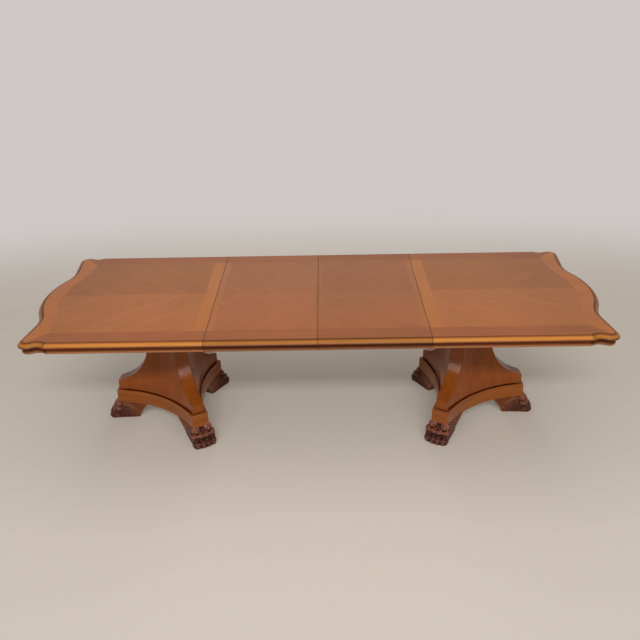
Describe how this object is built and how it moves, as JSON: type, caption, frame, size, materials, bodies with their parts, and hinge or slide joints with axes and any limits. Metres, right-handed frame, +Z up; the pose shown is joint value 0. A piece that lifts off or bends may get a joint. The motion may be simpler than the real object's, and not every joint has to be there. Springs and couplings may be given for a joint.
{
  "type": "double pedestal dining table",
  "caption": "Extending double pedestal dining table with serpentine moulded ends, lift-out leaves, triform pedestals and carved paw feet.",
  "frame": {"origin": "on the floor under the middle of the table top", "axes": "+X along the length to the right in the picture, +Y towards the back, +Z up"},
  "size_m": [3.048, 1.118, 0.787],
  "materials": {
    "veneered_top": "satin lacquered veneer",
    "moulded_edge": "satin lacquer",
    "pedestal_wood": "satin lacquered veneer",
    "carved_foot": "satin lacquer",
    "slide_wood": "waxed hardwood",
    "gear_steel": "dark zinc plated",
    "fastener_steel": "zinc plated",
    "glide_plastic": "moulded"
  },
  "bodies": {
    "centre_frame": {"front_centre_slide": "slide_wood", "back_centre_slide": "slide_wood", "centre_slide_ties": "slide_wood", "equaliser_pivot_bolts": "fastener_steel"},
    "left_half": {"left_top_panel": "veneered_top", "left_end_edge_moulding": "moulded_edge", "left_front_edge_moulding": "moulded_edge", "left_back_edge_moulding": "moulded_edge", "left_pedestal_plate": "slide_wood", "left_pedestal_bolts": "fastener_steel", "left_column": "pedestal_wood", "left_plinth": "pedestal_wood", "left_end_paw_foot": "carved_foot", "left_front_paw_foot": "carved_foot", "left_back_paw_foot": "carved_foot", "left_foot_glides": "glide_plastic", "front_left_slide": "slide_wood", "back_left_slide": "slide_wood", "left_racks": "gear_steel", "left_half_button_screws": "fastener_steel"},
    "right_half": {"right_top_panel": "veneered_top", "right_end_edge_moulding": "moulded_edge", "right_front_edge_moulding": "moulded_edge", "right_back_edge_moulding": "moulded_edge", "right_pedestal_plate": "slide_wood", "right_pedestal_bolts": "fastener_steel", "right_column": "pedestal_wood", "right_plinth": "pedestal_wood", "right_end_paw_foot": "carved_foot", "right_front_paw_foot": "carved_foot", "right_back_paw_foot": "carved_foot", "right_foot_glides": "glide_plastic", "front_right_slide": "slide_wood", "back_right_slide": "slide_wood", "right_racks": "gear_steel", "right_half_button_screws": "fastener_steel"},
    "left_leaf": {"left_leaf_panel": "veneered_top", "left_leaf_front_moulding": "moulded_edge", "left_leaf_back_moulding": "moulded_edge", "left_leaf_cleats": "slide_wood", "left_leaf_button_screws": "fastener_steel"},
    "right_leaf": {"right_leaf_panel": "veneered_top", "right_leaf_front_moulding": "moulded_edge", "right_leaf_back_moulding": "moulded_edge", "right_leaf_cleats": "slide_wood"},
    "front_gear": {"front_equaliser_gear": "gear_steel"},
    "back_gear": {"back_equaliser_gear": "gear_steel"},
    "left_half_front_button": {"left_half_front_turn_button": "slide_wood"},
    "left_half_back_button": {"left_half_back_turn_button": "slide_wood"},
    "left_leaf_front_button": {"left_leaf_front_turn_button": "slide_wood"},
    "left_leaf_back_button": {"left_leaf_back_turn_button": "slide_wood"},
    "right_half_front_button": {"right_half_front_turn_button": "slide_wood"},
    "right_half_back_button": {"right_half_back_turn_button": "slide_wood"}
  },
  "joints": [
    {"name": "left_extension", "type": "slide", "parent": "centre_frame", "child": "left_half", "axis": [-1, 0, 0], "range_m": [0, 0.06]},
    {"name": "right_extension", "type": "slide", "parent": "centre_frame", "child": "right_half", "axis": [1, 0, 0], "range_m": [0, 0.06]},
    {"name": "front_gear_spin", "type": "hinge", "parent": "centre_frame", "child": "front_gear", "pos_m": [0, -0.28, 0.711], "axis": [0, 0, 1], "range_deg": [0, 96]},
    {"name": "back_gear_spin", "type": "hinge", "parent": "centre_frame", "child": "back_gear", "pos_m": [0, 0.28, 0.711], "axis": [0, 0, -1], "range_deg": [0, 96]},
    {"name": "left_leaf_lift", "type": "slide", "parent": "centre_frame", "child": "left_leaf", "axis": [0, 0, 1], "range_m": [0, 0.3]},
    {"name": "right_leaf_lift", "type": "slide", "parent": "centre_frame", "child": "right_leaf", "axis": [0, 0, 1], "range_m": [0, 0.3]},
    {"name": "left_half_front_button_turn", "type": "hinge", "parent": "left_half", "child": "left_half_front_button", "pos_m": [-0.599, -0.43, 0.757], "axis": [0, 0, -1], "range_deg": [0, 90]},
    {"name": "left_half_back_button_turn", "type": "hinge", "parent": "left_half", "child": "left_half_back_button", "pos_m": [-0.599, 0.43, 0.757], "axis": [0, 0, 1], "range_deg": [0, 90]},
    {"name": "left_leaf_front_button_turn", "type": "hinge", "parent": "left_leaf", "child": "left_leaf_front_button", "pos_m": [-0.04, -0.43, 0.757], "axis": [0, 0, -1], "range_deg": [0, 90]},
    {"name": "left_leaf_back_button_turn", "type": "hinge", "parent": "left_leaf", "child": "left_leaf_back_button", "pos_m": [-0.04, 0.43, 0.757], "axis": [0, 0, 1], "range_deg": [0, 90]},
    {"name": "right_half_front_button_turn", "type": "hinge", "parent": "right_half", "child": "right_half_front_button", "pos_m": [0.599, -0.43, 0.757], "axis": [0, 0, 1], "range_deg": [0, 90]},
    {"name": "right_half_back_button_turn", "type": "hinge", "parent": "right_half", "child": "right_half_back_button", "pos_m": [0.599, 0.43, 0.757], "axis": [0, 0, -1], "range_deg": [0, 90]}
  ],
  "couplings": [
    {"joint": "right_extension", "follows": "left_extension", "ratio": 1},
    {"joint": "front_gear_spin", "follows": "left_extension", "rad_per_m": 27.778},
    {"joint": "back_gear_spin", "follows": "left_extension", "rad_per_m": 27.778}
  ]
}
